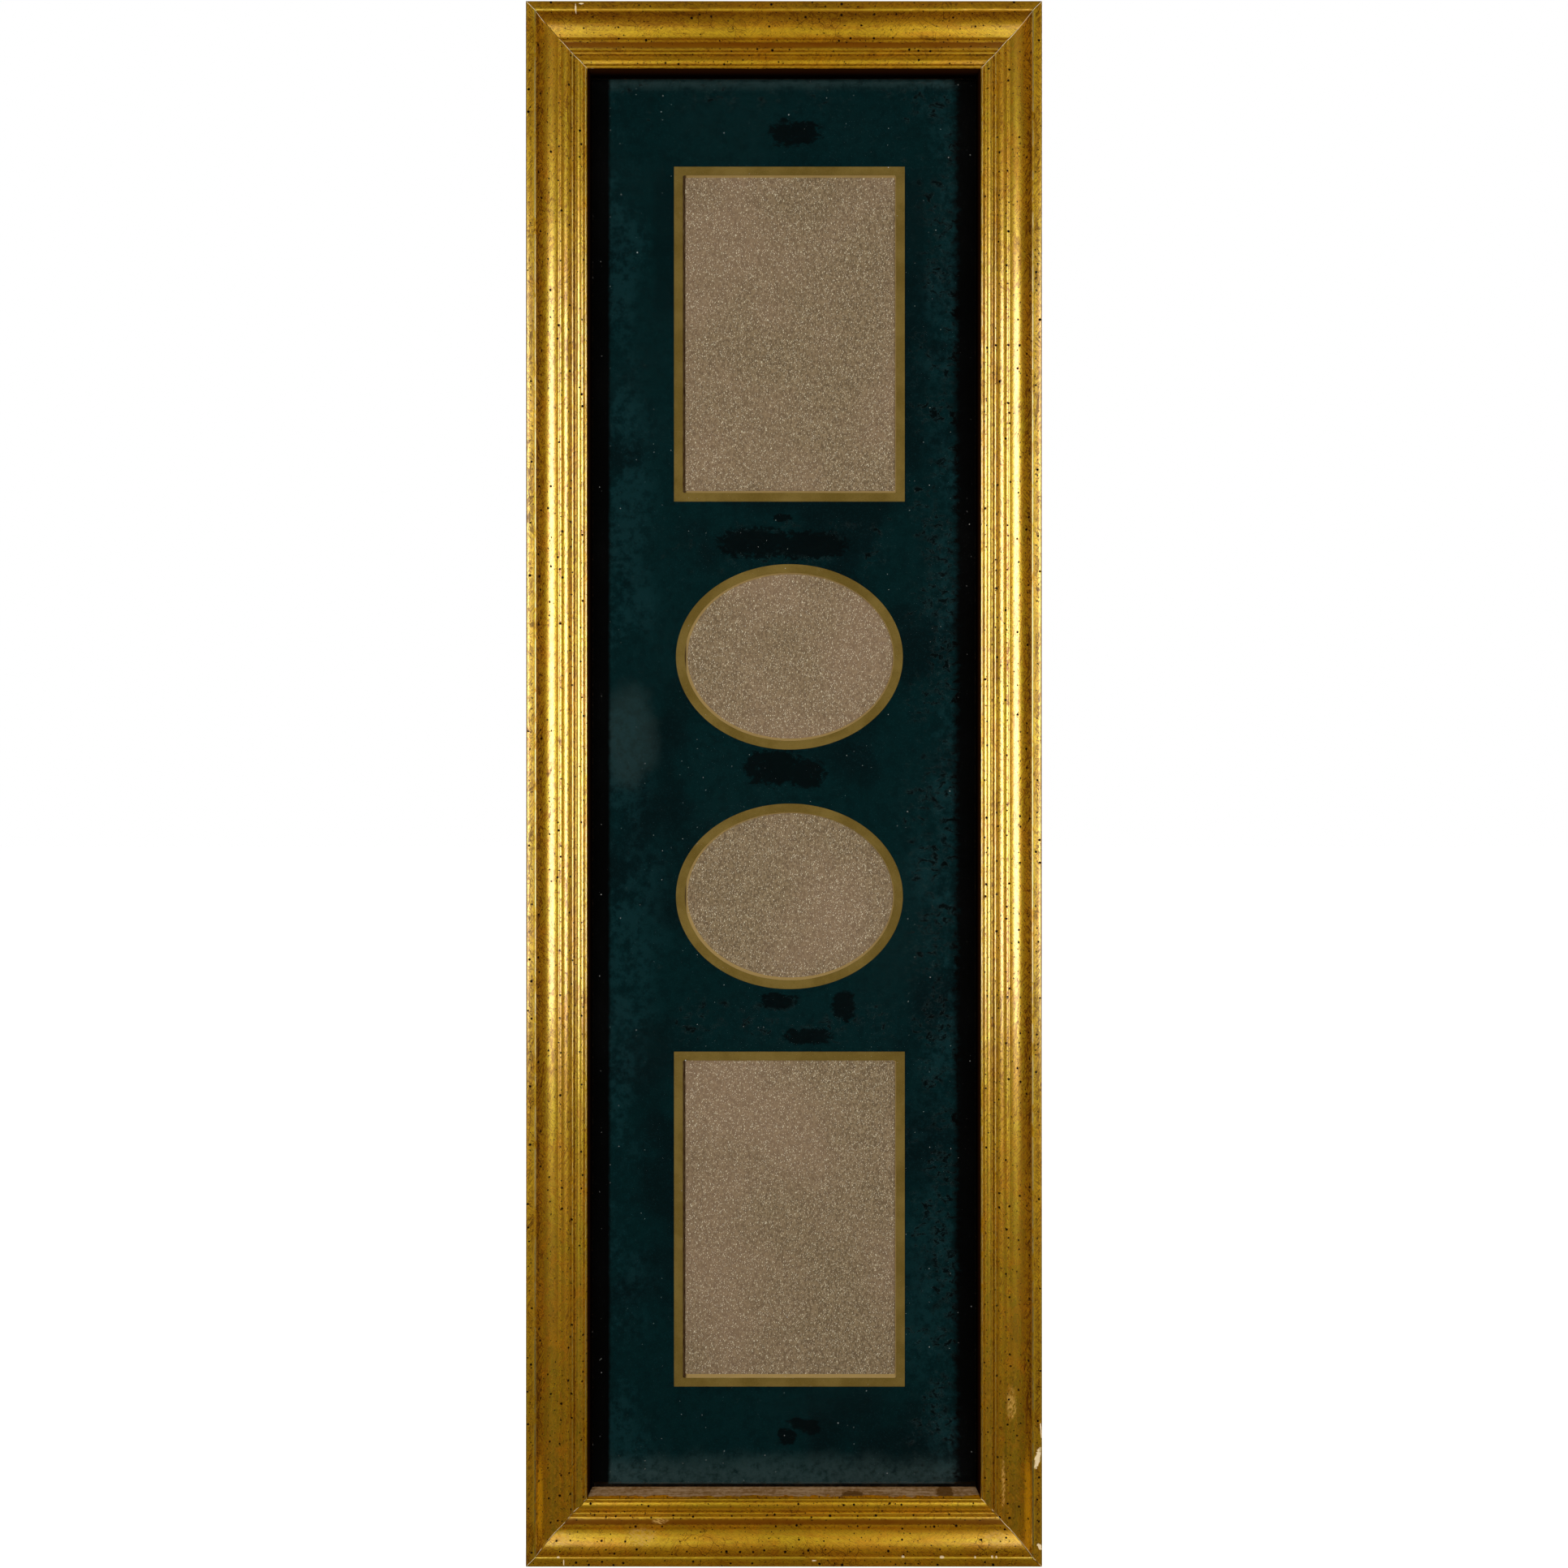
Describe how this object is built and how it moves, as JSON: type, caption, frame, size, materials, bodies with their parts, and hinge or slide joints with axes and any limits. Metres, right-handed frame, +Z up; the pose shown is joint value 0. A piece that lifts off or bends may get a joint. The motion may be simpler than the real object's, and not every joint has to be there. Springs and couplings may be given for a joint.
{
  "type": "collage photo frame",
  "caption": "Tall narrow wall frame in a mitred gilded cove moulding, with glass over a dark mat cut for a column of upright and oval photos, held in by turn buttons at the back.",
  "frame": {"origin": "where the wall hook carries the hanger: the top of its middle notch, in the plane of the rails' back", "axes": "+Z up, +Y out of the back towards the wall, +X to the right for someone facing the picture"},
  "size_m": [0.223, 0.025, 0.676],
  "materials": {
    "gilded_wood": "gold leaf, toned brown, semi-gloss",
    "corner_nail_steel": "bright strip",
    "glass": "clear float glass",
    "mat_card": "dark green paper with dull gold printed bands",
    "grey_board": "speckled recycled board, matt",
    "button_steel": "zinc plated",
    "screw_steel": "zinc plated",
    "hanger_brass": "brass plated strip",
    "nail_steel": "bright",
    "felt": "brown felt"
  },
  "bodies": {
    "frame": {"top_rail": "gilded_wood", "bottom_rail": "gilded_wood", "left_rail": "gilded_wood", "right_rail": "gilded_wood", "corner_nails_top_left": "corner_nail_steel", "corner_nails_top_right": "corner_nail_steel", "corner_nails_bottom_left": "corner_nail_steel", "corner_nails_bottom_right": "corner_nail_steel", "glass_pane": "glass", "mat_board": "mat_card", "backing_board": "grey_board", "turn_button_screws": "screw_steel", "sawtooth_hanger": "hanger_brass", "hanger_nails": "nail_steel", "wall_bumper_left": "felt", "wall_bumper_right": "felt"},
    "turn_button_left_upper": {"turn_button_left_upper": "button_steel"},
    "turn_button_left_middle": {"turn_button_left_middle": "button_steel"},
    "turn_button_left_lower": {"turn_button_left_lower": "button_steel"},
    "turn_button_right_upper": {"turn_button_right_upper": "button_steel"},
    "turn_button_right_middle": {"turn_button_right_middle": "button_steel"},
    "turn_button_right_lower": {"turn_button_right_lower": "button_steel"},
    "turn_button_top_left": {"turn_button_top_left": "button_steel"},
    "turn_button_top_right": {"turn_button_top_right": "button_steel"},
    "turn_button_bottom_left": {"turn_button_bottom_left": "button_steel"},
    "turn_button_bottom_right": {"turn_button_bottom_right": "button_steel"}
  },
  "joints": [
    {"name": "button_turn_left_upper", "type": "hinge", "parent": "frame", "child": "turn_button_left_upper", "pos_m": [-0.098, 0.0006, -0.114], "axis": [0, 1, 0], "continuous": true},
    {"name": "button_turn_left_middle", "type": "hinge", "parent": "frame", "child": "turn_button_left_middle", "pos_m": [-0.098, 0.0006, -0.324], "axis": [0, 1, 0], "continuous": true},
    {"name": "button_turn_left_lower", "type": "hinge", "parent": "frame", "child": "turn_button_left_lower", "pos_m": [-0.098, 0.0006, -0.534], "axis": [0, 1, 0], "continuous": true},
    {"name": "button_turn_right_upper", "type": "hinge", "parent": "frame", "child": "turn_button_right_upper", "pos_m": [0.098, 0.0006, -0.114], "axis": [0, 1, 0], "continuous": true},
    {"name": "button_turn_right_middle", "type": "hinge", "parent": "frame", "child": "turn_button_right_middle", "pos_m": [0.098, 0.0006, -0.324], "axis": [0, 1, 0], "continuous": true},
    {"name": "button_turn_right_lower", "type": "hinge", "parent": "frame", "child": "turn_button_right_lower", "pos_m": [0.098, 0.0006, -0.534], "axis": [0, 1, 0], "continuous": true},
    {"name": "button_turn_top_left", "type": "hinge", "parent": "frame", "child": "turn_button_top_left", "pos_m": [-0.055, 0.0006, 0.0005], "axis": [0, 1, 0], "continuous": true},
    {"name": "button_turn_top_right", "type": "hinge", "parent": "frame", "child": "turn_button_top_right", "pos_m": [0.055, 0.0006, 0.0005], "axis": [0, 1, 0], "continuous": true},
    {"name": "button_turn_bottom_left", "type": "hinge", "parent": "frame", "child": "turn_button_bottom_left", "pos_m": [-0.055, 0.0006, -0.6485], "axis": [0, 1, 0], "continuous": true},
    {"name": "button_turn_bottom_right", "type": "hinge", "parent": "frame", "child": "turn_button_bottom_right", "pos_m": [0.055, 0.0006, -0.6485], "axis": [0, 1, 0], "continuous": true}
  ]
}
